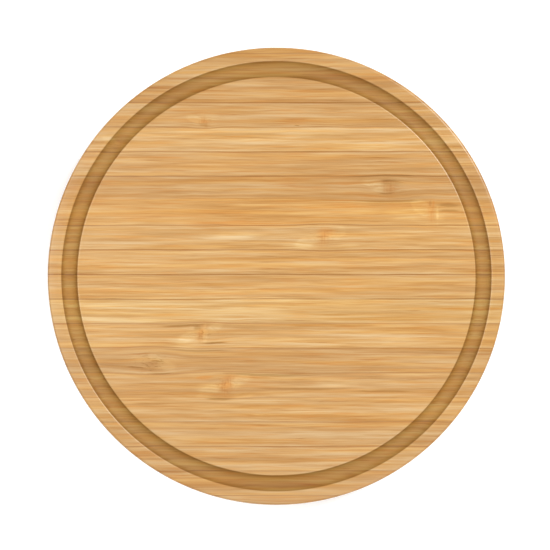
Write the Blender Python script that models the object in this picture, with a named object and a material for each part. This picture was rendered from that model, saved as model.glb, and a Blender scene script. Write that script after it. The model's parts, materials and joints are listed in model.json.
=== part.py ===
"""Lazy susan turntable: a round bamboo platter with a juice groove that spins on a base.

The platter turns on a ring bearing: an aluminium inner ring screwed under the platter runs
inside an outer ring screwed to the base, on steel balls that a nylon cage spaces out.
The base stands on four screwed rubber feet. +Z is up, the bearing's axis is Z, and the
origin is where that axis meets the table.
"""

import math

import bmesh
import bpy
from mathutils import Matrix, Vector

MM = 0.001

# Overall sizes
PLATTER_DIAMETER = 350 * MM
PLATTER_THICKNESS = 15 * MM
BEARING_DIAMETER = 200 * MM
BEARING_HEIGHT = 10 * MM
BASE_MARGIN = 15 * MM  # the base stands out past the bearing by this
BASE_THICKNESS = 12 * MM
FOOT_HEIGHT = 6 * MM

# Rounded edges and the juice groove
PLATTER_EDGE_RADIUS = 2.2 * MM
BASE_EDGE_RADIUS = 2 * MM
GROOVE_INSET = 16.7 * MM  # from the rim to the middle of the groove
GROOVE_WIDTH = 14 * MM
GROOVE_DEPTH = 3.5 * MM
GROOVE_EDGE_RADIUS = 1.5 * MM

# Clearances
SEAT_GAP = 0.3 * MM  # between pieces that seat on, or screw into, each other
RING_CLEARANCE = 1 * MM  # between a bearing ring and the board that turns past it
BALL_CLEARANCE = 0.15 * MM
CAGE_CLEARANCE = 0.4 * MM
HOLE_END_CLEARANCE = 0.5 * MM

# Ring bearing
RING_WIDTH = 12 * MM
RING_CHAMFER = 0.5 * MM
WALL_GAP = 2 * MM  # between the walls of the two rings
BALL_DIAMETER = 4.76 * MM
BALL_COUNT = 24
CAGE_RAIL = 1.2 * MM  # of nylon above and below a ball's pocket
FILLER_ALLOWANCE = 1.24 * MM  # how much wider than a ball its filler screw is
FILLER_RECESS = 0.5 * MM
FILLER_ANGLE = math.radians(-45)
SOCKET_ACROSS_FLATS = 3 * MM
SOCKET_DEPTH = 3 * MM
SOCKET_SIDES = 6

# Screws
SCREW_COUNT = 4
PLATTER_SCREW_DIAMETER = 3.5 * MM
PLATTER_THREAD_DEPTH = 7 * MM
BASE_SCREW_DIAMETER = 4 * MM
BASE_THREAD_DEPTH = 4 * MM
HEAD_RATIO = 2  # a countersunk head's diameter over its shank's
HEAD_RECESS = 0.3 * MM
CROSS_WIDTH = 1 * MM
CROSS_SPAN_RATIO = 1.15  # a cross recess's span over the shank's diameter
CROSS_DEPTH = 1.3 * MM
SCREW_TIP = 3 * MM
TIP_RADIUS = 0.3 * MM

# Feet
FOOT_COUNT = 4
FOOT_DIAMETER = 20 * MM
FOOT_TAPER = 1.5 * MM  # how much less the radius is at the table
FOOT_EDGE_RADIUS = 1 * MM
FOOT_INSET = 5 * MM  # from the base's rim to the foot
FOOT_SEAT = 1.5 * MM  # of rubber above the washer
WASHER_DIAMETER = 7.6 * MM
WASHER_THICKNESS = 0.8 * MM
FOOT_SCREW_DIAMETER = 3 * MM
FOOT_SCREW_HEAD_DIAMETER = 5.8 * MM
FOOT_SCREW_HEAD_HEIGHT = 1.8 * MM
FOOT_THREAD_DEPTH = 8.8 * MM

# How finely round shapes are divided
FINE_SEGMENTS = 72
RING_SEGMENTS = 72
SCREW_SEGMENTS = 12
HOLE_SEGMENTS = 12
FOOT_SEGMENTS = 20
EDGE_STEPS = 2
GROOVE_STEPS = 6
SHARP_ANGLE = math.radians(35)  # an edge sharper than this isn't shaded smooth

# Radii and heights that follow from the sizes above
platter_radius = PLATTER_DIAMETER / 2
bearing_radius = BEARING_DIAMETER / 2
base_radius = bearing_radius + BASE_MARGIN
outer_wall = bearing_radius - RING_WIDTH
inner_wall = outer_wall - WALL_GAP
inner_ring_bore = inner_wall - RING_WIDTH
pitch_radius = (outer_wall + inner_wall) / 2
ball_radius = BALL_DIAMETER / 2
race_reach = (ball_radius + BALL_CLEARANCE) * math.sqrt(2)  # pitch circle to a race's root
race_half_height = race_reach - WALL_GAP / 2

base_bottom = FOOT_HEIGHT + SEAT_GAP
base_top = base_bottom + BASE_THICKNESS
outer_ring_bottom = base_top + SEAT_GAP
outer_ring_top = outer_ring_bottom + BEARING_HEIGHT - RING_CLEARANCE
inner_ring_bottom = outer_ring_bottom + RING_CLEARANCE
inner_ring_top = outer_ring_bottom + BEARING_HEIGHT
race_height = (outer_ring_bottom + inner_ring_top) / 2
platter_bottom = inner_ring_top + SEAT_GAP
platter_top = platter_bottom + PLATTER_THICKNESS

platter_screw_circle = (inner_ring_bore + pitch_radius - race_reach) / 2
base_screw_circle = (bearing_radius + pitch_radius + race_reach) / 2
foot_circle = base_radius - FOOT_INSET - FOOT_DIAMETER / 2
filler_radius = (BALL_DIAMETER + FILLER_ALLOWANCE) / 2


def around(count, start=0.0):
    """Angles of count places spread evenly around the axis."""
    return [start + 2 * math.pi * n / count for n in range(count)]


def on_circle(radius, angle, height):
    """The point at a radius and an angle from the axis, at a height."""
    return Vector((radius * math.cos(angle), radius * math.sin(angle), height))


def arc(centre, radius, start, end, steps):
    """(radius, height) points along an arc, its angles in degrees from the outward radius."""
    angles = [math.radians(start + (end - start) * n / steps) for n in range(steps + 1)]
    return [(centre[0] + radius * math.cos(a), centre[1] + radius * math.sin(a)) for a in angles]


def mesh_from(shape, name):
    """A mesh of a bmesh, facing out and shaded smooth between its sharp edges."""
    bmesh.ops.recalc_face_normals(shape, faces=shape.faces)
    mesh = bpy.data.meshes.new(name)
    shape.to_mesh(mesh)
    shape.free()
    mesh.shade_smooth()
    mesh.set_sharp_from_angle(angle=SHARP_ANGLE)
    return mesh


def turned(name, outline, segments, ring=False):
    """A mesh of an outline turned about Z: a ring if its ends join, else with flat caps."""
    shape = bmesh.new()
    points = [shape.verts.new((radius, 0, height)) for radius, height in outline]
    edges = [shape.edges.new(pair) for pair in zip(points, points[1:])]
    if ring:
        edges.append(shape.edges.new((points[-1], points[0])))
    bmesh.ops.spin(
        shape,
        geom=points + edges,
        cent=(0, 0, 0),
        axis=(0, 0, 1),
        angle=2 * math.pi,
        steps=segments,
        use_merge=True,
    )
    if not ring:
        bmesh.ops.holes_fill(shape, edges=[e for e in shape.edges if e.is_boundary])
    return mesh_from(shape, name)


def rod(name, radius, bottom, top, segments=HOLE_SEGMENTS):
    """A mesh of a plain cylinder about Z."""
    return turned(name, [(radius, bottom), (radius, top)], segments)


def carved(mesh, cutters):
    """The mesh with cutters removed from it, each a (mesh, matrix) pair."""
    block = bpy.data.objects.new(mesh.name, mesh)
    bpy.context.scene.collection.objects.link(block)
    tools = []
    for number, (cutter_mesh, matrix) in enumerate(cutters):
        tool = bpy.data.objects.new(f"{mesh.name}_cutter_{number}", cutter_mesh)
        tool.matrix_world = matrix
        bpy.context.scene.collection.objects.link(tool)
        tools.append(tool)
        cut = block.modifiers.new(tool.name, "BOOLEAN")
        cut.operation = "DIFFERENCE"
        cut.solver = "EXACT"
        cut.object = tool
    graph = bpy.context.evaluated_depsgraph_get()
    made = bpy.data.meshes.new_from_object(block.evaluated_get(graph))
    for helper in [block, *tools]:
        bpy.data.objects.remove(helper)
    made.name = mesh.name
    made.shade_smooth()
    made.set_sharp_from_angle(angle=SHARP_ANGLE)
    return made


def material(name, color, roughness, metallic=0.0):
    """A Principled material."""
    made = bpy.data.materials.new(name)
    made.use_nodes = True
    shader = made.node_tree.nodes["Principled BSDF"]
    shader.inputs["Base Color"].default_value = (*color, 1)
    shader.inputs["Roughness"].default_value = roughness
    shader.inputs["Metallic"].default_value = metallic
    made.diffuse_color = (*color, 1)
    return made


def body(name, parent=None):
    """An empty on the bearing's axis, at the race's height, that carries one moving body."""
    empty = bpy.data.objects.new(name, None)
    empty.location = (0, 0, race_height if parent is None else 0)
    empty.parent = parent
    bpy.context.scene.collection.objects.link(empty)
    return empty


def place(name, mesh, finish, carrier, location=(0, 0, 0), turn=0.0):
    """An object of a mesh on its carrier, at a location in the world, turned about Z."""
    piece = bpy.data.objects.new(name, mesh)
    if not mesh.materials:
        mesh.materials.append(finish)
    piece.parent = carrier
    piece.matrix_parent_inverse = Matrix.Translation((0, 0, -race_height))
    piece.location = location
    piece.rotation_euler = (0, 0, turn)
    bpy.context.scene.collection.objects.link(piece)
    return piece


def groove_outline():
    """The juice groove from its outer to its inner edge, a round cove with rounded edges."""
    middle = platter_radius - GROOVE_INSET
    half_width = GROOVE_WIDTH / 2
    cove = (half_width**2 + GROOVE_DEPTH**2) / (2 * GROOVE_DEPTH) - GROOVE_EDGE_RADIUS
    cove_centre = platter_top + cove - GROOVE_DEPTH
    edge_centre = platter_top - GROOVE_EDGE_RADIUS
    lean = math.degrees(math.asin(half_width / (cove + GROOVE_EDGE_RADIUS)))
    outer = (middle + half_width, edge_centre)
    inner = (middle - half_width, edge_centre)
    return [
        *arc(outer, GROOVE_EDGE_RADIUS, 90, 90 + lean, EDGE_STEPS)[:-1],
        *arc((middle, cove_centre), cove, lean - 90, -lean - 90, GROOVE_STEPS),
        *arc(inner, GROOVE_EDGE_RADIUS, 90 - lean, 90, EDGE_STEPS)[1:],
    ]


def rounded_rim(radius, bottom, top, edge):
    """A board's rim from its bottom face to its top one, with both edges rounded."""
    return [
        *arc((radius - edge, bottom + edge), edge, -90, 0, EDGE_STEPS),
        *arc((radius - edge, top - edge), edge, 0, 90, EDGE_STEPS),
    ]


def countersunk_hole(diameter, length):
    """A cutter for a countersunk screw's hole: from the head's face at height 0 upwards."""
    shank, head = diameter / 2, HEAD_RATIO * diameter / 2
    outline = [
        (head + SEAT_GAP, -HEAD_RECESS - SEAT_GAP),
        (head + SEAT_GAP, 0),
        (shank + SEAT_GAP, head - shank),
        (shank + SEAT_GAP, length),
    ]
    return turned("countersunk_hole", outline, SCREW_SEGMENTS)


def cross_recess(shank):
    """The two blades of a cross recess, from a screw head's face at height 0 upwards."""
    span = CROSS_SPAN_RATIO * 2 * shank
    blades = []
    for long_side, short_side in ((span, CROSS_WIDTH), (CROSS_WIDTH, span)):
        shape = bmesh.new()
        bmesh.ops.create_cube(shape, size=1)
        bmesh.ops.scale(shape, vec=(long_side, short_side, 2 * CROSS_DEPTH), verts=shape.verts)
        blades.append((mesh_from(shape, "cross_blade"), Matrix.Identity(4)))
    return blades


def countersunk_screw(name, diameter, length, pointed):
    """A flat-headed screw, its head's face at height 0 and its shank upwards."""
    shank, head = diameter / 2, HEAD_RATIO * diameter / 2
    point = [(shank, length - SCREW_TIP), (TIP_RADIUS, length)] if pointed else [(shank, length)]
    blank = turned(name, [(head, 0), (shank, head - shank), *point], SCREW_SEGMENTS)
    return carved(blank, cross_recess(shank))


def pan_screw(name):
    """A foot's pan-headed screw, its head's underside at height 0 and its shank upwards."""
    head, shank = FOOT_SCREW_HEAD_DIAMETER / 2, FOOT_SCREW_DIAMETER / 2
    edge = FOOT_SCREW_HEAD_HEIGHT / 2
    length = WASHER_THICKNESS + FOOT_SEAT + FOOT_THREAD_DEPTH + 3 * SEAT_GAP
    outline = [
        (head - edge, -FOOT_SCREW_HEAD_HEIGHT),
        *arc((head - edge, -edge), edge, -45, 0, EDGE_STEPS),
        (head, 0),
        (shank, 0),
        (shank, length - SCREW_TIP),
        (TIP_RADIUS, length),
    ]
    face = Matrix.Translation((0, 0, -FOOT_SCREW_HEAD_HEIGHT))
    recess = [(mesh, face) for mesh, _ in cross_recess(shank)]
    return carved(turned(name, outline, SCREW_SEGMENTS), recess)


def platter_mesh():
    """The platter, with the juice groove in its top and pilot holes under it."""
    rim = rounded_rim(platter_radius, platter_bottom, platter_top, PLATTER_EDGE_RADIUS)
    board = turned("platter", rim + groove_outline(), FINE_SEGMENTS)
    pilot = rod(
        "pilot",
        PLATTER_SCREW_DIAMETER / 2 + SEAT_GAP,
        platter_bottom - SEAT_GAP,
        platter_bottom + PLATTER_THREAD_DEPTH + HOLE_END_CLEARANCE,
    )
    places = [on_circle(platter_screw_circle, a, 0) for a in around(SCREW_COUNT)]
    return carved(board, [(pilot, Matrix.Translation(place)) for place in places])


def base_mesh():
    """The base, with countersunk holes for the ring's screws and pilot holes for the feet's."""
    rim = rounded_rim(base_radius, base_bottom, base_top, BASE_EDGE_RADIUS)
    board = turned("base_disc", rim, FINE_SEGMENTS)
    hole = countersunk_hole(BASE_SCREW_DIAMETER, BASE_THICKNESS)
    pilot = rod(
        "pilot",
        FOOT_SCREW_DIAMETER / 2 + SEAT_GAP,
        base_bottom - SEAT_GAP,
        base_bottom + FOOT_THREAD_DEPTH + HOLE_END_CLEARANCE,
    )
    cutters = []
    for angle in around(SCREW_COUNT):
        head = on_circle(base_screw_circle, angle, base_bottom + HEAD_RECESS)
        cutters.append((hole, Matrix.Translation(head)))
    for angle in around(FOOT_COUNT, math.pi / FOOT_COUNT):
        cutters.append((pilot, Matrix.Translation(on_circle(foot_circle, angle, 0))))
    return carved(board, cutters)


def race(wall, side):
    """A ball race in a ring's wall, bottom to top: side is 1 outwards and -1 inwards."""
    root = pitch_radius + side * race_reach
    return [
        (wall, race_height - race_half_height),
        (root, race_height),
        (wall, race_height + race_half_height),
    ]


def ring_outline(wall, back, bottom, top):
    """A bearing ring's section: its wall with the ball race, and its chamfered back."""
    side = 1 if back > wall else -1
    chamfer = side * RING_CHAMFER
    return [
        (wall + chamfer, bottom),
        (wall, bottom + RING_CHAMFER),
        *race(wall, side),
        (wall, top - RING_CHAMFER),
        (wall + chamfer, top),
        (back - chamfer, top),
        (back, top - RING_CHAMFER),
        (back, bottom + RING_CHAMFER),
        (back - chamfer, bottom),
    ]


def filler_cutter():
    """The filler hole's cutter, lying along the ring's radius from the race outwards."""
    cutter = rod("filler_hole", filler_radius + SEAT_GAP, pitch_radius, bearing_radius + SEAT_GAP)
    lying = Matrix.Rotation(FILLER_ANGLE, 4, "Z") @ Matrix.Rotation(math.pi / 2, 4, "Y")
    return cutter, Matrix.Translation((0, 0, race_height)) @ lying


def outer_ring_mesh():
    """The fixed ring, with tapped holes for the base's screws and the balls' filler hole."""
    outline = ring_outline(outer_wall, bearing_radius, outer_ring_bottom, outer_ring_top)
    ring = turned("bearing_outer_ring", outline, RING_SEGMENTS, ring=True)
    tapped = rod(
        "tapped",
        BASE_SCREW_DIAMETER / 2 + SEAT_GAP,
        outer_ring_bottom - SEAT_GAP,
        outer_ring_bottom + BASE_THREAD_DEPTH + HOLE_END_CLEARANCE,
    )
    places = [on_circle(base_screw_circle, a, 0) for a in around(SCREW_COUNT)]
    cutters = [(tapped, Matrix.Translation(place)) for place in places]
    return carved(ring, [*cutters, filler_cutter()])


def inner_ring_mesh():
    """The turning ring, with countersunk holes for the platter's screws."""
    outline = ring_outline(inner_wall, inner_ring_bore, inner_ring_bottom, inner_ring_top)
    ring = turned("bearing_inner_ring", outline, RING_SEGMENTS, ring=True)
    hole = countersunk_hole(PLATTER_SCREW_DIAMETER, BEARING_HEIGHT)
    heads = [
        on_circle(platter_screw_circle, angle, inner_ring_bottom + HEAD_RECESS)
        for angle in around(SCREW_COUNT)
    ]
    return carved(ring, [(hole, Matrix.Translation(head)) for head in heads])


def cage_mesh():
    """The nylon cage: a thin band with a round pocket for each ball."""
    inside, outside = inner_wall + CAGE_CLEARANCE, outer_wall - CAGE_CLEARANCE
    pocket = ball_radius + BALL_CLEARANCE + SEAT_GAP / 2
    bottom, top = race_height - pocket - CAGE_RAIL, race_height + pocket + CAGE_RAIL
    outline = [(inside, bottom), (inside, top), (outside, top), (outside, bottom)]
    band = turned("ball_cage", outline, RING_SEGMENTS, ring=True)
    punch = rod("pocket", pocket, inside - WALL_GAP, outside + WALL_GAP, SCREW_SEGMENTS)
    upright = Matrix.Translation((0, 0, race_height))
    lying = Matrix.Rotation(math.pi / 2, 4, "Y")
    turns = [Matrix.Rotation(angle, 4, "Z") for angle in ball_angles()]
    return carved(band, [(punch, upright @ turn @ lying) for turn in turns])


def ball_angles():
    """The balls' places around the bearing, the first half a step from +X."""
    return around(BALL_COUNT, math.pi / BALL_COUNT)


def ball_mesh():
    """A bearing ball."""
    shape = bmesh.new()
    bmesh.ops.create_icosphere(shape, subdivisions=2, radius=ball_radius)
    return mesh_from(shape, "bearing_ball")


def filler_screw_mesh():
    """The set screw that closes the filler hole, lying along +X from its inner end."""
    start = pitch_radius + race_reach + HOLE_END_CLEARANCE
    length = bearing_radius - FILLER_RECESS - start
    blank = rod("ball_filler_screw", filler_radius, 0, length, SCREW_SEGMENTS)
    across = SOCKET_ACROSS_FLATS / math.sqrt(3)
    socket = rod("socket", across, length - SOCKET_DEPTH, length + SEAT_GAP, SOCKET_SIDES)
    screw = carved(blank, [(socket, Matrix.Identity(4))])
    screw.transform(Matrix.Translation((start, 0, 0)) @ Matrix.Rotation(math.pi / 2, 4, "Y"))
    return screw


def foot_mesh():
    """A rubber foot standing at height 0, hollow underneath for its washer and screw."""
    top, bottom = FOOT_DIAMETER / 2, FOOT_DIAMETER / 2 - FOOT_TAPER
    bore = WASHER_DIAMETER / 2 + SEAT_GAP
    hole = FOOT_SCREW_DIAMETER / 2 + SEAT_GAP
    ceiling = FOOT_HEIGHT - FOOT_SEAT
    edge = FOOT_EDGE_RADIUS
    outline = [
        (bore, 0),
        *arc((bottom - edge, edge), edge, -90, 0, EDGE_STEPS),
        (top, FOOT_HEIGHT),
        (hole, FOOT_HEIGHT),
        (hole, ceiling),
        (bore, ceiling),
    ]
    return turned("rubber_foot", outline, FOOT_SEGMENTS, ring=True)


def washer_mesh():
    """A foot's washer, its top face at height 0."""
    hole, rim = FOOT_SCREW_DIAMETER / 2 + SEAT_GAP, WASHER_DIAMETER / 2
    outline = [(hole, 0), (rim, 0), (rim, -WASHER_THICKNESS), (hole, -WASHER_THICKNESS)]
    return turned("foot_washer", outline, FOOT_SEGMENTS, ring=True)


def build_base(carrier):
    """The base board and the outer ring screwed to it."""
    place("base_disc", base_mesh(), bamboo, carrier)
    place("bearing_outer_ring", outer_ring_mesh(), aluminium, carrier)
    length = BASE_THICKNESS - HEAD_RECESS + SEAT_GAP + BASE_THREAD_DEPTH
    screw = countersunk_screw("base_screw", BASE_SCREW_DIAMETER, length, pointed=False)
    for number, angle in enumerate(around(SCREW_COUNT), 1):
        head = on_circle(base_screw_circle, angle, base_bottom + HEAD_RECESS)
        place(f"base_screw_{number}", screw, steel, carrier, head, angle)
    filler = filler_screw_mesh()
    place("ball_filler_screw", filler, steel, carrier, (0, 0, race_height), FILLER_ANGLE)


def build_feet(carrier):
    """Four rubber feet, each with its washer and screw."""
    foot, washer, screw = foot_mesh(), washer_mesh(), pan_screw("foot_screw")
    washer_top = FOOT_HEIGHT - FOOT_SEAT - SEAT_GAP
    screw_seat = washer_top - WASHER_THICKNESS - SEAT_GAP
    for number, angle in enumerate(around(FOOT_COUNT, math.pi / FOOT_COUNT), 1):
        spot = on_circle(foot_circle, angle, 0)
        up = Vector((0, 0, 1))
        place(f"rubber_foot_{number}", foot, rubber, carrier, spot, angle)
        place(f"foot_washer_{number}", washer, steel, carrier, spot + up * washer_top, angle)
        place(f"foot_screw_{number}", screw, steel, carrier, spot + up * screw_seat, angle)


def build_platter(carrier):
    """The platter and the inner ring screwed under it."""
    place("platter", platter_mesh(), bamboo, carrier)
    place("bearing_inner_ring", inner_ring_mesh(), aluminium, carrier)
    length = inner_ring_top - inner_ring_bottom - HEAD_RECESS + SEAT_GAP + PLATTER_THREAD_DEPTH
    screw = countersunk_screw("platter_screw", PLATTER_SCREW_DIAMETER, length, pointed=True)
    for number, angle in enumerate(around(SCREW_COUNT), 1):
        head = on_circle(platter_screw_circle, angle, inner_ring_bottom + HEAD_RECESS)
        place(f"platter_screw_{number}", screw, steel, carrier, head, angle)


def build_cage(carrier):
    """The cage, with each ball's own origin at its centre, where its rolling axis passes."""
    place("ball_cage", cage_mesh(), nylon, carrier)
    ball = ball_mesh()
    for number, angle in enumerate(ball_angles(), 1):
        centre = on_circle(pitch_radius, angle, race_height)
        place(f"bearing_ball_{number:02d}", ball, steel, carrier, centre, angle)


for leftover in list(bpy.data.objects):
    bpy.data.objects.remove(leftover)

bamboo = material("bamboo", (0.72, 0.41, 0.16), 0.45)
aluminium = material("aluminium", (0.78, 0.79, 0.80), 0.32, 1.0)
steel = material("zinc_plated_steel", (0.66, 0.67, 0.68), 0.28, 1.0)
nylon = material("nylon", (0.82, 0.81, 0.77), 0.5)
rubber = material("rubber", (0.035, 0.035, 0.037), 0.75)

base_body = body("base_body")
build_base(base_body)
build_feet(base_body)
build_platter(body("platter_body", base_body))
build_cage(body("cage_body", base_body))
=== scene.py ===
"""The looks of a bamboo lazy susan turntable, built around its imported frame.

The platter and the base are boards of pressed bamboo strips in three plies. Between them runs
a ring bearing of turned aluminium, and rubber feet carry the base.
Sizes are in metres, and the turning axis is Z.
"""

import json
import logging
import math
from dataclasses import dataclass, replace
from enum import Enum
from typing import Iterable, Sequence, Union

import bmesh
import bpy
from mathutils import Matrix, Vector

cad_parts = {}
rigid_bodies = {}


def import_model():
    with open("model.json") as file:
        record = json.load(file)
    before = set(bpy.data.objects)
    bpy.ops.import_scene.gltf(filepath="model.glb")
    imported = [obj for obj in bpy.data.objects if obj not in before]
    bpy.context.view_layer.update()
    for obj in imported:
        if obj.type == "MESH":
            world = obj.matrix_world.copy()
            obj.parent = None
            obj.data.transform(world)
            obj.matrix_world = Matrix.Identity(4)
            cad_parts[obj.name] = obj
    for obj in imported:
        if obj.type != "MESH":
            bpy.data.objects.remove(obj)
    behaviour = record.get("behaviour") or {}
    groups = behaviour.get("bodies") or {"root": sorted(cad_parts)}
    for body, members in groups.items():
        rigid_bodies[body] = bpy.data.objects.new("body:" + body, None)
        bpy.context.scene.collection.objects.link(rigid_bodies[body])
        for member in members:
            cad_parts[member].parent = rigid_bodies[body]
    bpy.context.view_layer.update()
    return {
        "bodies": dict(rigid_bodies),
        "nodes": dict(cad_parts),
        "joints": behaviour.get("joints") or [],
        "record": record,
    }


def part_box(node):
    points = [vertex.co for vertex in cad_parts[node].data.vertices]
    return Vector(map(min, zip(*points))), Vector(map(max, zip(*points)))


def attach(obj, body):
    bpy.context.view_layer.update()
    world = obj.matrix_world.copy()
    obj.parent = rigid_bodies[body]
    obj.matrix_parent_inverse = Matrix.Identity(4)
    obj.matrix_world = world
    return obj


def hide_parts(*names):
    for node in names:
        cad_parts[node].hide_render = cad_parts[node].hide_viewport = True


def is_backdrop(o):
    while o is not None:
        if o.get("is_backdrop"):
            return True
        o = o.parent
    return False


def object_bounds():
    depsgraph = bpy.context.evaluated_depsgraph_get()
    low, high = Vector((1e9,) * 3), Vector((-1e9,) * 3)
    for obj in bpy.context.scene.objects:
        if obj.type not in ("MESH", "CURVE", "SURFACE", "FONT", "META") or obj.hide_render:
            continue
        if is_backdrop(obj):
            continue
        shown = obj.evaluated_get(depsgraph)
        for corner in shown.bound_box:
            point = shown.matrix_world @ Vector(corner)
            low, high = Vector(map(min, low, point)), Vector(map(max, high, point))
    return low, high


log = logging.getLogger("turntable")

MM = 0.001
CREASE = math.radians(35)
Point = tuple[float, float]
Colour = tuple[float, float, float]


# --- Shader maths -------------------------------------------------------------------------


class Value:
    """A socket of a shader. Python's operators on it add Math nodes."""

    def __init__(self, graph: "Graph", socket: bpy.types.NodeSocket) -> None:
        """Wraps a socket of a graph."""
        self.graph = graph
        self.socket = socket

    def math(self, operation: str, *others: "Number") -> "Value":
        """A Math node on this value and up to two others."""
        return self.graph.math(operation, self, *others)

    def __add__(self, other: "Number") -> "Value":
        """This value plus another."""
        return self.math("ADD", other)

    def __radd__(self, other: "Number") -> "Value":
        """A number plus this value."""
        return self.graph.math("ADD", other, self)

    def __sub__(self, other: "Number") -> "Value":
        """This value less another."""
        return self.math("SUBTRACT", other)

    def __rsub__(self, other: "Number") -> "Value":
        """A number less this value."""
        return self.graph.math("SUBTRACT", other, self)

    def __mul__(self, other: "Number") -> "Value":
        """This value times another."""
        return self.math("MULTIPLY", other)

    def __rmul__(self, other: "Number") -> "Value":
        """A number times this value."""
        return self.graph.math("MULTIPLY", other, self)

    def __truediv__(self, other: "Number") -> "Value":
        """This value over another."""
        return self.math("DIVIDE", other)

    def __abs__(self) -> "Value":
        """This value without its sign."""
        return self.math("ABSOLUTE")

    def floor(self) -> "Value":
        """The whole number at or below this value."""
        return self.math("FLOOR")

    def bell(self) -> "Value":
        """One where this value is 0, falling smoothly to 0 at about 2 either way."""
        return (self * self * -1.0).math("EXPONENT")

    def at_most(self, other: "Number") -> "Value":
        """The lesser of this value and another."""
        return self.math("MINIMUM", other)

    def rise(self, low: float, high: float) -> "Value":
        """0 up to low, 1 from high on, and a smooth step between."""
        return self.graph.node(
            "ShaderNodeMapRange",
            {"interpolation_type": "SMOOTHSTEP"},
            {0: self, 1: low, 2: high, 3: 0.0, 4: 1.0},
        )

    def fall(self, low: float, high: float) -> "Value":
        """1 up to low, 0 from high on, and a smooth step between."""
        return 1.0 - self.rise(low, high)


Number = Union[Value, float]


class Graph:
    """A material's node tree while it is built."""

    def __init__(self, name: str) -> None:
        """Makes the material, with an empty Principled shader at its output."""
        self.material = bpy.data.materials.new(name)
        self.material.use_nodes = True
        self.tree = self.material.node_tree
        self.tree.nodes.clear()
        self.shader = self.tree.nodes.new("ShaderNodeBsdfPrincipled")
        output = self.tree.nodes.new("ShaderNodeOutputMaterial")
        self.tree.links.new(self.shader.outputs[0], output.inputs[0])

    def set(self, name: str, given: object) -> None:
        """Gives one of the shader's sockets a value or a link.

        Args:
            name: the socket's name.
            given: a Value to link, or a number or colour to set.
        """
        if isinstance(given, Value):
            self.tree.links.new(given.socket, self.shader.inputs[name])
        elif isinstance(given, tuple):
            self.shader.inputs[name].default_value = (*given, 1.0)
        else:
            self.shader.inputs[name].default_value = given

    def node(self, kind: str, settings: dict, inputs: dict, output: int | str = 0) -> Value:
        """Adds a node.

        Args:
            kind: the node's type.
            settings: its properties, and a ramp's stops as (place, colour) pairs.
            inputs: values or links by a socket's name or number.
            output: the output that is wanted.

        Returns:
            The output.
        """
        made = self.tree.nodes.new(kind)
        for name, setting in settings.items():
            if name == "stops":
                self._fill_ramp(made.color_ramp, setting)
            elif name == "interpolation" and kind == "ShaderNodeValToRGB":
                made.color_ramp.interpolation = setting
            else:
                setattr(made, name, setting)
        for key, given in inputs.items():
            if isinstance(given, Value):
                self.tree.links.new(given.socket, made.inputs[key])
            elif isinstance(given, tuple) and made.inputs[key].type == "RGBA":
                made.inputs[key].default_value = (*given, 1.0)
            else:
                made.inputs[key].default_value = given
        return Value(self, made.outputs[output])

    @staticmethod
    def _fill_ramp(ramp: bpy.types.ColorRamp, stops: Sequence[tuple[float, Colour]]) -> None:
        """Sets a colour ramp's stops."""
        for _ in range(len(stops) - 2):
            ramp.elements.new(1.0)
        for element, (place, colour) in zip(ramp.elements, stops):
            element.position = place
            element.color = (*colour, 1.0)

    def math(self, operation: str, *values: Number) -> Value:
        """A Math node on one to three values."""
        return self.node("ShaderNodeMath", {"operation": operation}, dict(enumerate(values)))

    def position(self) -> tuple[Value, Value, Value]:
        """The point's X, Y and Z on the piece."""
        return self._split("Object")

    def facing(self) -> tuple[Value, Value, Value]:
        """The surface's direction on the piece, as X, Y and Z."""
        return self._split("Normal")

    def _split(self, output: str) -> tuple[Value, Value, Value]:
        """The three parts of one of the Texture Coordinate node's vectors."""
        whole = self.node("ShaderNodeTexCoord", {}, {}, output)
        parts = [self.node("ShaderNodeSeparateXYZ", {}, {0: whole}, n) for n in range(3)]
        return parts[0], parts[1], parts[2]

    def vector(self, x: Number, y: Number, z: Number) -> Value:
        """A vector from its three parts."""
        return self.node("ShaderNodeCombineXYZ", {}, {0: x, 1: y, 2: z})

    def noise(self, where: Value, scale: float = 1.0, detail: float = 2.0) -> Value:
        """Soft noise from 0 to 1, mostly near a half."""
        return self.node(
            "ShaderNodeTexNoise", {}, {"Vector": where, "Scale": scale, "Detail": detail}
        )

    def grain(self, x: Number, y: Number, z: Number, detail: float = 2.0) -> Value:
        """Soft noise at a point whose parts are stretched each on its own."""
        return self.noise(self.vector(x, y, z), 1.0, detail)

    def chance(self, seed: Value) -> Value:
        """An even random number from 0 to 1 that stays the same for one seed."""
        return self.node("ShaderNodeTexWhiteNoise", {"noise_dimensions": "1D"}, {"W": seed})

    def dots(self, where: Value, scale: float) -> Value:
        """The distance to the nearest of many scattered points."""
        return self.node("ShaderNodeTexVoronoi", {}, {"Vector": where, "Scale": scale})

    def mix(self, start: Value | Colour, end: Value | Colour, share: Number) -> Value:
        """A colour between two, by a share from 0 to 1."""
        settings = {"data_type": "RGBA"}
        return self.node("ShaderNodeMix", settings, {0: share, 6: start, 7: end}, 2)

    def tint(self, colour: Value, by: Value | Colour, share: Number = 1.0) -> Value:
        """A colour multiplied by another, by a share from 0 to 1."""
        settings = {"data_type": "RGBA", "blend_type": "MULTIPLY"}
        return self.node("ShaderNodeMix", settings, {0: share, 6: colour, 7: by}, 2)

    def ramp(self, stops: Sequence[tuple[float, Colour]], place: Value, kind: str) -> Value:
        """A colour ramp, whose kind is its interpolation."""
        settings = {"interpolation": kind, "stops": stops}
        return self.node("ShaderNodeValToRGB", settings, {0: place})

    def relief(self, height: Value, depth: float) -> None:
        """Raises the surface by a height from 0 to 1, times a depth in metres."""
        bump = {"Strength": 1.0, "Distance": depth, "Height": height}
        self.set("Normal", self.node("ShaderNodeBump", {}, bump))


# --- Finishes -----------------------------------------------------------------------------


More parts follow.
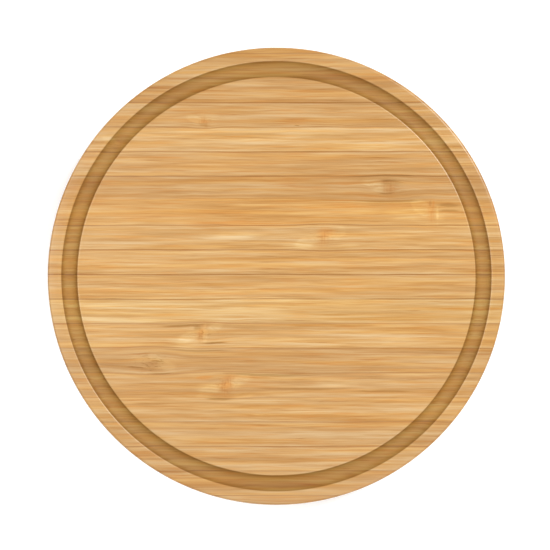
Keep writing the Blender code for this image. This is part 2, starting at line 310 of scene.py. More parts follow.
class Tone(Enum):
    """The shades that pressed bamboo strips are sorted into."""

    CREAM = (0.442, 0.263, 0.090)
    WHEAT = (0.425, 0.244, 0.083)
    STRAW = (0.416, 0.231, 0.073)
    HONEY = (0.416, 0.218, 0.058)
    BISCUIT = (0.394, 0.216, 0.069)
    TAN = (0.385, 0.212, 0.068)
    SMOKED = (0.373, 0.200, 0.061)


class Shade(Enum):
    """What the wood's colour is multiplied by where it is marked."""

    PALE = (1.14, 1.25, 1.42)
    ORANGE = (1.03, 0.86, 0.60)
    GREY = (0.85, 0.83, 0.80)
    BROWN = (0.70, 0.62, 0.36)


@dataclass(frozen=True)
class Streak:
    """A streak along the grain, paler or darker than the wood round it."""

    x: float
    y: float
    length: float
    width: float
    shade: Shade
    strength: float


@dataclass(frozen=True)
class Knuckle:
    """A joint of the bamboo cane in a strip, at a place on the board.

    The strengths run from 0 to 1: how far the fibres swell round it, its orange heart, the
    pale wood to its left and right, the dark fleck under it, the fine dark curls round it
    and the grey stain over it.
    """

    x: float
    y: float
    length: float = 8 * MM
    width: float = 7 * MM
    swell: float = 0.35
    heart: float = 0.5
    left: float = 0.5
    right: float = 0.5
    fleck: float = 0.3
    curl: float = 0.5
    grey: float = 0.0
    lean: float = 0.3
    fleck_at: float = -0.7


@dataclass(frozen=True)
class Marks:
    """How much of each of the knuckles' marks a point shows."""

    heart: Value
    pale: Value
    fleck: Value
    curl: Value
    grey: Value


@dataclass(frozen=True)
class Groove:
    """Where a round groove lies on a board."""

    radius: float
    width: float


@dataclass(frozen=True)
class PressedBamboo:
    """A board of pressed bamboo strips, in three plies with the middle one crosswise."""

    name: str
    bottom: float
    top: float
    strip: float
    seam: float
    tones: tuple[Tone, ...]
    knuckles: tuple[Knuckle, ...] = ()
    streaks: tuple[Streak, ...] = ()
    groove: Groove | None = None

    WAVE = 1.0 * MM
    SHIVER = 1.1 * MM
    GLUE = 0.16 * MM
    LOWEST_SHIFT = 61 * MM
    # how far below the top face the groove's painted shade reaches
    GROOVE_SHADE_REACH = 5 * MM

    def material(self) -> bpy.types.Material:
        """The board's material, as solid wood that shows side and end grain."""
        graph = Graph(self.name)
        x, y, z = graph.position()
        facing = graph.facing()
        rise, third = z - self.bottom, (self.top - self.bottom) / 3
        sharp = 0.01 * MM
        core = rise.rise(third - sharp, third) * rise.fall(2 * third, 2 * third + sharp)
        lowest = rise.fall(third - sharp, third)
        along = x + core * (y - x) + lowest * self.LOWEST_SHIFT
        across = y + core * (x - y) + lowest * 0.41 * self.strip
        end_on = abs(facing[0]) + core * (abs(facing[1]) - abs(facing[0]))

        across, marks = self._around_knuckles(graph, along, across, z)
        wave = graph.grain(along * 11.0, across * 16.0, z * 30.0, 1.0)
        shiver = graph.grain(along * 60.0, across * 300.0, z * 60.0)
        across = across + (wave - 0.5) * self.WAVE
        place = (across - self.seam + (shiver - 0.5) * 0.4 * self.SHIVER) / self.strip
        across = across + (shiver - 0.5) * self.SHIVER
        seed = place.floor() * 7.31 + core * 3.7 + lowest * 11.3
        colour, height = self._fibres(graph, along, across, z, seed, place)
        colour = self._knuckle_marks(graph, colour, along, across, marks)
        seam = self._seam(graph, along, place)
        colour = graph.tint(colour, (0.60, 0.46, 0.28), seam)
        height = height - seam * 0.5
        colour, pores = self._end_grain(graph, colour, graph.vector(x, y, z), end_on)
        glue = abs(rise - third).at_most(abs(rise - 2 * third)) - self.GLUE
        colour = graph.tint(colour, (0.70, 0.58, 0.44), glue.fall(0.0, 0.1 * MM))
        inside: Number = 0.0
        if self.groove:
            # painted shade in the groove, darker towards its walls
            colour, inside = self._groove_painted_shade(graph, colour, x, y, z)
        graph.set("Base Color", colour)
        graph.set("Roughness", 0.26 + height * 0.16 + pores * 0.16 + inside * 0.30)
        graph.set("IOR", 1.42)
        graph.set("Coat Weight", 0.22 - inside * 0.22)
        graph.set("Coat Roughness", 0.24)
        graph.relief(height - pores * 0.8, 0.06 * MM)
        return graph.material

    def _around_knuckles(
        self, graph: Graph, along: Value, across: Value, z: Value
    ) -> tuple[Value, Marks]:
        """Bends the fibres round the knuckles.

        Args:
            graph: the material's graph.
            along: the place along the grain.
            across: the place across it.
            z: the height.

        Returns:
            The bent place across the grain, and the knuckles' marks.
        """
        ripple = graph.grain(along * 150.0, across * 330.0, z * 50.0, 3.0)
        fret = (ripple - 0.5) * 2.4
        heart = pale = fleck = curl = grey = along * 0.0
        bent = across
        for knuckle in self.knuckles:
            right = (along - knuckle.x) / knuckle.length
            up = (across - knuckle.y) / knuckle.width
            near = (right * 0.45).bell() * (up * 0.8).bell()
            bent = bent - (across - knuckle.y) * near * knuckle.swell
            bent = bent + fret * near * 0.8 * MM
            level = (up * 1.1 + fret * 0.25).bell()
            heart = heart + (right * 1.9 + fret * 0.6 + up * knuckle.lean).bell() * (
                level * knuckle.heart
            )
            slope = ((up + right * knuckle.lean) * 1.6 + fret * 0.2).bell()
            sides = ((right + 1.5) * 0.9 + fret * 0.5).bell() * knuckle.left
            sides = sides + ((right - 1.3) * 1.1 + fret * 0.5).bell() * knuckle.right
            pale = pale + sides * slope
            if knuckle.fleck:
                under = ((up - knuckle.fleck_at) * 3.4 + right * 0.5 + fret * 0.9).bell()
                fleck = fleck + (right * 1.1 + fret * 0.5).bell() * under * knuckle.fleck
            if knuckle.curl:
                turn = (right * right * 0.4 + up * up * 1.6).math("SQRT") * 2.1 + fret * 1.1
                line = abs(turn.math("FRACT") - 0.5).fall(0.03, 0.20) * ripple.rise(0.46, 0.60)
                curl = curl + line * (right * 0.8).bell() * up.bell() * knuckle.curl
            if knuckle.grey:
                grey = grey + (right * 0.9 + fret * 0.4).bell() * level * knuckle.grey
        return bent, Marks(heart, pale.rise(0.06, 0.36), fleck.rise(0.10, 0.60), curl, grey)

    def _fibres(
        self, graph: Graph, along: Value, across: Value, z: Value, seed: Value, place: Value
    ) -> tuple[Value, Value]:
        """The strips' shades and the fibre streaks in them.

        Args:
            graph: the material's graph.
            along: the place along the grain.
            across: the place across it.
            z: the height.
            seed: a number that differs from strip to strip.
            place: the place across the grain, counted in strips.

        Returns:
            The colour, and the fibres' height from 0 to 1.
        """
        count = len(self.tones)
        shade = (place + count / 2) / count
        stops = [(n / count, tone.value) for n, tone in enumerate(self.tones)]
        colour = graph.ramp(stops, shade, "CONSTANT")

        broad = graph.grain(along * 6.0, across * 190.0, z * 60.0 + seed, 3.0)
        bands = graph.grain(along * 19.0 + seed, across * 520.0, z * 150.0)
        lens = graph.grain(along * 30.0, across * 620.0, z * 200.0 + seed, 1.0)
        fine = graph.grain(along * 34.0, across * 1600.0, z * 420.0 + seed, 3.0)
        hue = graph.grain(along * 8.0, across * 300.0, z * 80.0 - seed)
        light = broad.rise(0.38, 0.62) * 0.34 + bands.rise(0.36, 0.64) * 0.35
        light = light + fine.rise(0.30, 0.70) * 0.31
        shading = (
            (0.05, (0.81, 0.70, 0.48)),
            (0.50, (1.00, 0.98, 0.95)),
            (0.95, (1.16, 1.31, 1.66)),
        )
        colour = graph.tint(colour, graph.ramp(shading, light, "LINEAR"))
        warmth = ((0.35, (1.03, 0.96, 0.74)), (0.50, (1.0, 1.0, 1.0)), (0.65, (0.98, 1.03, 1.18)))
        colour = graph.tint(colour, graph.ramp(warmth, hue, "LINEAR"))
        colour = graph.tint(colour, Shade.ORANGE.value, lens.rise(0.54, 0.68) * 0.5)
        colour = graph.tint(colour, (0.78, 0.66, 0.48), fine.fall(0.27, 0.37) * 0.85)
        colour = self._streaks(graph, colour, along, across, bands)
        return colour, broad * 0.4 + bands * 0.25 + fine * 0.35

    def _streaks(
        self, graph: Graph, colour: Value, along: Value, across: Value, bands: Value
    ) -> Value:
        """Lays the longer streaks over the fibres, with their edges frayed by the bands.

        Args:
            graph: the material's graph.
            colour: the colour so far.
            along: the place along the grain.
            across: the place across it.
            bands: the noise that frays the streaks' edges.

        Returns:
            The colour.
        """
        fray = (bands - 0.5) * 2.2
        for streak in self.streaks:
            level = ((across - streak.y) / streak.width + fray).bell()
            share = ((along - streak.x) / streak.length + fray * 0.3).bell() * level
            share = share.rise(0.15, 0.75) * streak.strength
            colour = graph.tint(colour, streak.shade.value, share)
        return colour

    def _knuckle_marks(
        self, graph: Graph, colour: Value, along: Value, across: Value, marks: Marks
    ) -> Value:
        """Colours the knuckles: pale wood beside them, and an orange cross-grained heart.

        Args:
            graph: the material's graph.
            colour: the colour so far.
            along: the place along the grain.
            across: the place across it.
            marks: how much of each mark a point shows.

        Returns:
            The colour.
        """
        hatch = graph.grain(along * 620.0, across * 110.0, 0.0)
        streak = graph.grain(along * 30.0, across * 900.0, 0.0)
        colour = graph.tint(colour, Shade.GREY.value, marks.grey)
        colour = graph.tint(colour, Shade.PALE.value, marks.pale * streak.rise(0.25, 0.6) * 0.85)
        colour = graph.tint(colour, Shade.ORANGE.value, (marks.heart * 1.4).at_most(1.0))
        cross = marks.heart * hatch.fall(0.42, 0.54)
        colour = graph.tint(colour, (0.84, 0.74, 0.60), cross.at_most(1.0))
        torn = streak.fall(0.38, 0.58) * 0.7 + 0.3
        dark = (marks.fleck * torn + marks.curl).at_most(1.0)
        return graph.tint(colour, Shade.BROWN.value, dark)

    def _seam(self, graph: Graph, along: Value, place: Value) -> Value:
        """The dark glue seams between strips, some of them stronger than others."""
        nearest = (place + 0.5).floor()
        away = abs(place - nearest) * self.strip
        strength = 0.25 + 0.75 * graph.chance(nearest + 0.5)
        patch = graph.grain(along * 14.0, nearest * 3.1, 0.0)
        return away.fall(0.12 * MM, 0.75 * MM) * strength * (0.4 + 0.9 * patch)

    @staticmethod
    def _end_grain(
        graph: Graph, colour: Value, where: Value, end_on: Value
    ) -> tuple[Value, Value]:
        """The cut ends of the fibres, which show on the rim as dark dots.

        Args:
            graph: the material's graph.
            colour: the colour so far.
            where: the point.
            end_on: how squarely the surface cuts the fibres.

        Returns:
            The colour, and how much of a pore each point is.
        """
        cut = end_on.rise(0.45, 0.95)
        pores = graph.dots(where, 1500.0).fall(0.18, 0.42) * cut
        colour = graph.tint(colour, (0.80, 0.72, 0.62), cut * 0.7)
        colour = graph.tint(colour, (0.55, 0.43, 0.30), pores * 0.7)
        return colour, pores

    def _groove_painted_shade(
        self, graph: Graph, colour: Value, x: Value, y: Value, z: Value
    ) -> tuple[Value, Value]:
        """Paints shade into the groove, darkest towards its walls, and tints the rim outside it a
        little darker.

        Args:
            graph: the material's graph.
            colour: the colour so far.
            x: the point's X.
            y: its Y.
            z: its height.

        Returns:
            The colour, and 1 inside the groove and 0 outside it.
        """
        radius = (x * x + y * y).math("SQRT")
        away = abs(radius - self.groove.radius) / (self.groove.width / 2)
        deep = self.top - self.GROOVE_SHADE_REACH
        inside = away.fall(0.82, 0.92) * z.rise(deep - 1 * MM, deep)
        # painted shade: the groove darkened as a recess in shade, most towards its walls
        painted_shade = graph.ramp(
            ((0.0, (0.68, 0.60, 0.34)), (0.60, (0.67, 0.59, 0.33)), (0.84, (0.62, 0.54, 0.29))),
            away,
            "EASE",
        )
        # the rim outside the groove is tinted a little darker
        outside = (radius - self.groove.radius - self.groove.width / 2).rise(0.0, 2 * MM)
        colour = graph.tint(colour, (0.965, 0.955, 0.92), outside)
        return graph.tint(colour, painted_shade, inside), inside


@dataclass(frozen=True)
class TurnedMetal:
    """Metal with the fine circular tool marks of a lathe."""

    name: str
    colour: Colour
    roughness: float
    pitch: float

    def material(self) -> bpy.types.Material:
        """The metal's material, with its tool marks round the Z axis."""
        graph = Graph(self.name)
        x, y, z = graph.position()
        radius = (x * x + y * y).math("SQRT")
        marks = graph.grain(radius / self.pitch, z / self.pitch, 0.0, 3.0)
        cloud = graph.noise(graph.vector(x, y, z), 45.0, 3.0)
        smear = graph.grain(x * 300.0, y * 300.0, z * 60.0)
        shade = graph.mix(self.colour, tuple(0.86 * c for c in self.colour), marks)
        graph.set("Base Color", graph.tint(shade, (0.90, 0.91, 0.93), cloud.rise(0.45, 0.7)))
        graph.set("Roughness", self.roughness + (marks - 0.5) * 0.14 + (smear - 0.5) * 0.10)
        graph.set("Metallic", 1.0)
        graph.relief(marks, 0.02 * MM)
        return graph.material


@dataclass(frozen=True)
class PlatedSteel:
    """Plated or polished steel, with a faint mottle and hairline scratches."""

    name: str
    colour: Colour
    roughness: float
    mottle: Colour
    depth: float

    def material(self) -> bpy.types.Material:
        """The steel's material."""
        graph = Graph(self.name)
        x, y, z = graph.position()
        cloud = graph.noise(graph.vector(x, y, z), 420.0, 3.0)
        scratch = graph.grain(x * 4000.0, y * 700.0, z * 2500.0, 1.0)
        graph.set("Base Color", graph.mix(self.colour, self.mottle, cloud.rise(0.42, 0.66)))
        worn = scratch.rise(0.62, 0.75)
        graph.set("Roughness", self.roughness + (cloud - 0.5) * 0.16 + worn * 0.12)
        graph.set("Metallic", 1.0)
        graph.relief(worn + cloud * 0.3, self.depth)
        return graph.material


@dataclass(frozen=True)
class Moulded:
    """A moulded plastic or rubber, with a fine stipple and dusty patches."""

    name: str
    colour: Colour
    dust: Colour
    roughness: float
    stipple: float
    depth: float

    def material(self) -> bpy.types.Material:
        """The moulding's material."""
        graph = Graph(self.name)
        x, y, z = graph.position()
        where = graph.vector(x, y, z)
        grain = graph.noise(where, 1.0 / self.stipple, 2.0)
        cloud = graph.noise(where, 130.0, 3.0)
        patch = cloud.rise(0.48, 0.70)
        colour = graph.mix(self.colour, self.dust, patch * 0.5 + grain.rise(0.6, 0.8) * 0.25)
        graph.set("Base Color", colour)
        graph.set("Roughness", self.roughness + (grain - 0.5) * 0.12 + patch * 0.06)
        graph.relief(grain, self.depth)
        return graph.material


ALUMINIUM = TurnedMetal(
    name="turned_aluminium", colour=(0.80, 0.81, 0.82), roughness=0.30, pitch=0.16 * MM
)
ZINC_PLATE = PlatedSteel(
    name="zinc_plate",
    colour=(0.62, 0.63, 0.65),
    roughness=0.32,
    mottle=(0.70, 0.70, 0.66),
    depth=0.008 * MM,
)
FILLER_PLATE = replace(ZINC_PLATE, name="zinc_filler", roughness=0.30)
POLISHED_STEEL = PlatedSteel(
    name="polished_steel",
    colour=(0.58, 0.59, 0.60),
    roughness=0.10,
    mottle=(0.52, 0.53, 0.54),
    depth=0.001 * MM,
)
NYLON = Moulded(
    name="nylon",
    colour=(0.74, 0.73, 0.68),
    dust=(0.62, 0.60, 0.53),
    roughness=0.42,
    stipple=0.35 * MM,
    depth=0.02 * MM,
)
RUBBER = Moulded(
    name="rubber",
    colour=(0.020, 0.020, 0.021),
    dust=(0.060, 0.057, 0.052),
    roughness=0.62,
    stipple=0.25 * MM,
    depth=0.03 * MM,
)


# --- Shapes -------------------------------------------------------------------------------


def arc(centre: Point, radius: float, start: float, end: float, steps: int) -> list[Point]:
    """Points along an arc.

    Args:
        centre: the arc's centre, as (radius from the axis, height).
        radius: the arc's radius.
        start: the first point's angle in degrees, from the outward direction.
        end: the last point's angle.
        steps: how many chords it has.

    Returns:
        The (radius, height) points.
    """
    angles = [math.radians(start + (end - start) * n / steps) for n in range(steps + 1)]
    return [(centre[0] + radius * math.cos(a), centre[1] + radius * math.sin(a)) for a in angles]


def rounded(
    bore: float,
    radius: float,
    bottom: float,
    top: float,
    edge: float,
    steps: int,
    outer: Sequence[Point] = (),
    inner: Sequence[Point] = (),
) -> list[Point]:
    """The outline of a ring with rounded edges.

    Args:
        bore: the ring's inner radius.
        radius: its outer radius.
        bottom: the height of its bottom face.
        top: the height of its top face.
        edge: the radius of its edges.
        steps: how many chords each edge has.
        outer: more points on the outer wall, from the bottom up.
        inner: more points on the inner wall, from the top down.

    Returns:
        The (radius, height) points.
    """
    return [
        *arc((bore + edge, bottom + edge), edge, 180, 270, steps),
        *arc((radius - edge, bottom + edge), edge, 270, 360, steps),
        *outer,
        *arc((radius - edge, top - edge), edge, 0, 90, steps),
        *arc((bore + edge, top - edge), edge, 90, 180, steps),
        *inner,
    ]


def shape_mesh(shape: bmesh.types.BMesh, name: str) -> bpy.types.Mesh:
    """A mesh of a bmesh, facing out, and smooth but for edges sharper than the crease."""
    bmesh.ops.recalc_face_normals(shape, faces=shape.faces)
    mesh = bpy.data.meshes.new(name)
    shape.to_mesh(mesh)
    shape.free()
    mesh.shade_smooth()
    mesh.set_sharp_from_angle(angle=CREASE)
    return mesh


def turned(
    name: str, outline: Sequence[Point], segments: int, ring: bool = False
) -> bpy.types.Mesh:
    """An outline turned about Z.

    Args:
        name: the mesh's name.
        outline: the (radius, height) points.
        segments: how many steps make a full turn.
        ring: whether the outline closes on itself; otherwise its ends get flat caps.

    Returns:
        The mesh.
    """
    shape = bmesh.new()
    points = [shape.verts.new((radius, 0.0, height)) for radius, height in outline]
    edges = [shape.edges.new(pair) for pair in zip(points, points[1:])]
    if ring:
        edges.append(shape.edges.new((points[-1], points[0])))
    bmesh.ops.spin(
        shape,
        geom=points + edges,
        cent=(0, 0, 0),
        axis=(0, 0, 1),
        angle=2 * math.pi,
        steps=segments,
        use_merge=True,
    )
    if not ring:
        bmesh.ops.holes_fill(shape, edges=[e for e in shape.edges if e.is_boundary])
    return shape_mesh(shape, name)


def gathered(mesh: bpy.types.Mesh, places: Iterable[Matrix], name: str) -> bpy.types.Mesh:
    """One mesh holding a copy of another at each of several places.

    Args:
        mesh: the mesh to copy.
        places: where each copy goes.
        name: the new mesh's name.

    Returns:
        The mesh.
    """
    shape = bmesh.new()
    for place in places:
        known = len(shape.verts)
        shape.from_mesh(mesh)
        shape.verts.ensure_lookup_table()
        bmesh.ops.transform(shape, matrix=place, verts=shape.verts[known:])
    return shape_mesh(shape, name)


def carved(mesh: bpy.types.Mesh, *cutters: bpy.types.Mesh) -> bpy.types.Mesh:
    """A mesh with others cut out of it.

    Args:
        mesh: the mesh to cut.
        cutters: the closed meshes to cut away.

    Returns:
        A new mesh.
    """
    block = bpy.data.objects.new(mesh.name, mesh)
    tools = [bpy.data.objects.new(cutter.name, cutter) for cutter in cutters]
    for tool in tools:
        cut = block.modifiers.new(tool.name, "BOOLEAN")
        cut.operation = "DIFFERENCE"
        cut.solver = "EXACT"
        cut.object = tool
    for helper in (block, *tools):
        bpy.context.scene.collection.objects.link(helper)
    graph = bpy.context.evaluated_depsgraph_get()
    made = bpy.data.meshes.new_from_object(block.evaluated_get(graph))
    for helper in (block, *tools):
        bpy.data.objects.remove(helper)
    made.name = mesh.name
    made.shade_smooth()
    made.set_sharp_from_angle(angle=CREASE)
    return made


def thread(radius: float, start: float, end: float, pitch: float, depth: float) -> list[Point]:
    """A screw thread's outline up a shank, as rings of even pitch.

    Args:
        radius: the radius over the crests.
        start: the height at which the first turn starts.
        end: the height that the last turn stays under.
        pitch: from one crest to the next.
        depth: from crest to root.

    Returns:
        The (radius, height) points.
    """
    points = []
    for turn in range(int((end - start) / pitch)):
        foot = start + turn * pitch
        points += [
            (radius - depth, foot),
            (radius - depth, foot + 0.25 * pitch),
            (radius, foot + 0.55 * pitch),
            (radius, foot + 0.70 * pitch),
        ]
    return points


class Workshop:
    """Adds finished pieces to the scene in place of the frame's plain ones."""

    def __init__(self, frame: dict) -> None:
        """Notes which body each of the frame's nodes belongs to."""
        bodies = frame["record"]["behaviour"]["bodies"]
        self.body_of = {node: body for body, nodes in bodies.items() for node in nodes}
        self.slot_of = {
            part["node"]: part["material_slot"] for part in frame["record"]["subparts"]
        }

    def stand_in(
        self, node: str, mesh: bpy.types.Mesh, finish: bpy.types.Material
    ) -> bpy.types.Object:
        """Shows a finished piece for one of the frame's nodes.

        Args:
            node: the node that the piece replaces.
            mesh: the piece's mesh, in place.
            finish: its material.

        Returns:
            The piece's object.
        """
        mesh.materials.clear()
        mesh.materials.append(finish)
        piece = bpy.data.objects.new(f"{node}_finished", mesh)
        bpy.context.scene.collection.objects.link(piece)
        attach(piece, self.body_of[node])
        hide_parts(node)
        triangles = sum(len(face.vertices) - 2 for face in mesh.polygons)
        log.info("%s: %d triangles on body %s", piece.name, triangles, self.body_of[node])
        return piece


def extent(node: str) -> tuple[float, float, float]:
    """A round upright node's radius, bottom and top."""
    low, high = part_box(node)
    return (high.x - low.x) / 2, low.z, high.z


def middle(node: str) -> Vector:
    """The middle of a node's box."""
    low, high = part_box(node)
    return (low + high) / 2


def copied(mesh: bpy.types.Mesh, place: Matrix) -> bpy.types.Mesh:
    """A copy of a mesh moved to its place."""
    copy = mesh.copy()
    copy.transform(place)
    return copy


def numbered(prefix: str, count: int = 4) -> list[str]:
    """The names of a set of like nodes."""
    return [f"{prefix}_{number}" for number in range(1, count + 1)]


def upright(nodes: Iterable[str], height: float) -> list[Matrix]:
    """Where to put things on several nodes' own axes, at a height."""
    return [Matrix.Translation((middle(n).x, middle(n).y, height)) for n in nodes]


# --- Sub-assemblies -----------------------------------------------------------------------


@dataclass(frozen=True)
class ScrewSize:
    """A kind of screw: its radii over head and shank, and its thread.

    A pan head's height is pan, and a countersunk head has none. A pointed screw has a tip of
    that length.
    """

    head: float
    shank: float
    pitch: float
    pan: float = 0.0
    tip: float = 0.0

    @property
    def neck(self) -> float:
        """How high the head is."""
        return self.pan or self.head - self.shank

    def countersink(self, gap: float, end: float) -> list[Point]:
        """The outline of a clearance hole for it, with the head's face at height 0.

        Args:
            gap: the clearance all round.
            end: the height at which the hole stops.

        Returns:
            The (radius, height) points.
        """
        return [
            (self.head + gap, -2 * gap),
            (self.head + gap, 0.0),
            (self.shank + gap, self.neck),
            (self.shank + gap, end),
        ]


PLATTER_SCREW = ScrewSize(head=3.5 * MM, shank=1.75 * MM, pitch=1.2 * MM, tip=3 * MM)
BASE_SCREW = ScrewSize(head=4 * MM, shank=2 * MM, pitch=0.7 * MM)
FOOT_SCREW = ScrewSize(head=2.9 * MM, shank=1.5 * MM, pitch=1 * MM, pan=1.8 * MM, tip=3 * MM)
STRIP_WIDTH = 18.77 * MM


@dataclass
class Board:
    """A round bamboo board with rounded edges."""

    node: str
    edge: float
    segments: int = 256
    flat: float = 0.4 * MM
    edge_steps: int = 8
    hole_clearance: float = 0.3 * MM
    hole_end: float = 0.5 * MM

    def rim(self) -> list[Point]:
        """The rim's outline from the bottom face to the top one."""
        radius, bottom, top = extent(self.node)
        corner = radius - self.edge
        return [
            (corner - self.flat, bottom),
            *arc((corner, bottom + self.edge), self.edge, -90, 0, self.edge_steps),
            *arc((corner, top - self.edge), self.edge, 0, 90, self.edge_steps),
        ]

    def pilots(self, screws: str, size: ScrewSize) -> bpy.types.Mesh:
        """The cutter for the pilot holes that take a set of screws from below."""
        nodes = numbered(screws)
        _, bottom, _ = extent(self.node)
        _, _, tip = extent(nodes[0])
        hole = size.shank + self.hole_clearance
        depth = tip - bottom + self.hole_end
        tool = turned("pilot", [(hole, -self.hole_clearance), (hole, depth)], 24)
        return gathered(tool, upright(nodes, bottom), "pilots")


@dataclass
class Platter(Board):
    """The platter: a board with a round-bottomed juice groove near its rim."""

    groove_inset: float = 16.7 * MM
    groove_width: float = 14.0 * MM
    groove_depth: float = 3.5 * MM
    groove_edge: float = 1.5 * MM
    seam: float = 1.3 * MM

    def build(self, workshop: Workshop) -> None:
        """Makes the platter and puts it in place of the frame's."""
        mesh = turned("platter", self.rim() + self.groove(), self.segments)
        mesh = carved(mesh, self.pilots("platter_screw", PLATTER_SCREW))
        workshop.stand_in(self.node, mesh, self.finish())

    def groove(self) -> list[Point]:
        """The groove's outline from its outer to its inner edge."""
        radius, _, top = extent(self.node)
        centre, half = radius - self.groove_inset, self.groove_width / 2
        cove = (half**2 + self.groove_depth**2) / (2 * self.groove_depth) - self.groove_edge
        lean = math.degrees(math.asin(half / (cove + self.groove_edge)))
        ease = top - self.groove_edge
        return [
            (centre + half + self.flat, top),
            *arc((centre + half, ease), self.groove_edge, 90, 90 + lean, 6)[:-1],
            *arc((centre, top + cove - self.groove_depth), cove, lean - 90, -lean - 90, 20),
            *arc((centre - half, ease), self.groove_edge, 90 - lean, 90, 6)[1:],
            (centre - half - self.flat, top),
        ]

    def finish(self) -> bpy.types.Material:
        """The platter's bamboo."""
        radius, bottom, top = extent(self.node)
        return PressedBamboo(
            name="platter_bamboo",
            bottom=bottom,
            top=top,
            strip=STRIP_WIDTH,
            seam=self.seam,
            tones=PLATTER_STRIPS,
            knuckles=PLATTER_KNUCKLES,
            streaks=PLATTER_STREAKS,
            groove=Groove(radius - self.groove_inset, self.groove_width),
        ).material()


@dataclass
class Base(Board):
    """The base: a smaller board, with countersunk holes for the screws that hold the ring."""

    seam: float = 7.5 * MM

    def build(self, workshop: Workshop) -> None:
        """Makes the base and puts it in place of the frame's."""
        _, bottom, top = extent(self.node)
        mesh = turned("base_disc", [*self.rim(), self.inner_flat(top)], self.segments)
        nodes = numbered("base_screw")
        _, face, _ = extent(nodes[0])
        gap = self.hole_clearance
        outline = BASE_SCREW.countersink(gap, top - face + gap)
        holes = gathered(turned("hole", outline, 32), upright(nodes, face), "holes")
        mesh = carved(mesh, holes, self.pilots("foot_screw", FOOT_SCREW))
        finish = PressedBamboo(
            name="base_bamboo",
            bottom=bottom,
            top=top,
            strip=STRIP_WIDTH,
            seam=self.seam,
            tones=BASE_STRIPS,
            knuckles=BASE_KNUCKLES,
        ).material()
        workshop.stand_in(self.node, mesh, finish)

    def inner_flat(self, top: float) -> Point:
        """A point just inside the rounded top edge, which keeps the face flat there."""
        radius, _, _ = extent(self.node)
        return (radius - self.edge - self.flat, top)


@dataclass
class Ring:
    """One of the bearing's rings. Its race is on the inside of it, or on the outside."""

    node: str
    race_inside: bool
    width: float = 12 * MM
    edge: float = 0.5 * MM
    race_reach: float = 3.578 * MM
    race_half: float = 2.578 * MM
    segments: int = 240

    def blank(self) -> bpy.types.Mesh:
        """The ring before its holes are drilled."""
        radius, bottom, top = extent(self.node)
        bore = radius - self.width
        ball = middle("bearing_ball_01")
        pitch, height = math.hypot(ball.x, ball.y), ball.z
        low, high = height - self.race_half, height + self.race_half
        inner, outer = [], []
        if self.race_inside:
            inner = [(bore, high), (pitch + self.race_reach, height), (bore, low)]
        else:
            outer = [(radius, low), (pitch - self.race_reach, height), (radius, high)]
        outline = rounded(bore, radius, bottom, top, self.edge, 4, outer, inner)
        return turned(self.node, outline, self.segments, ring=True)


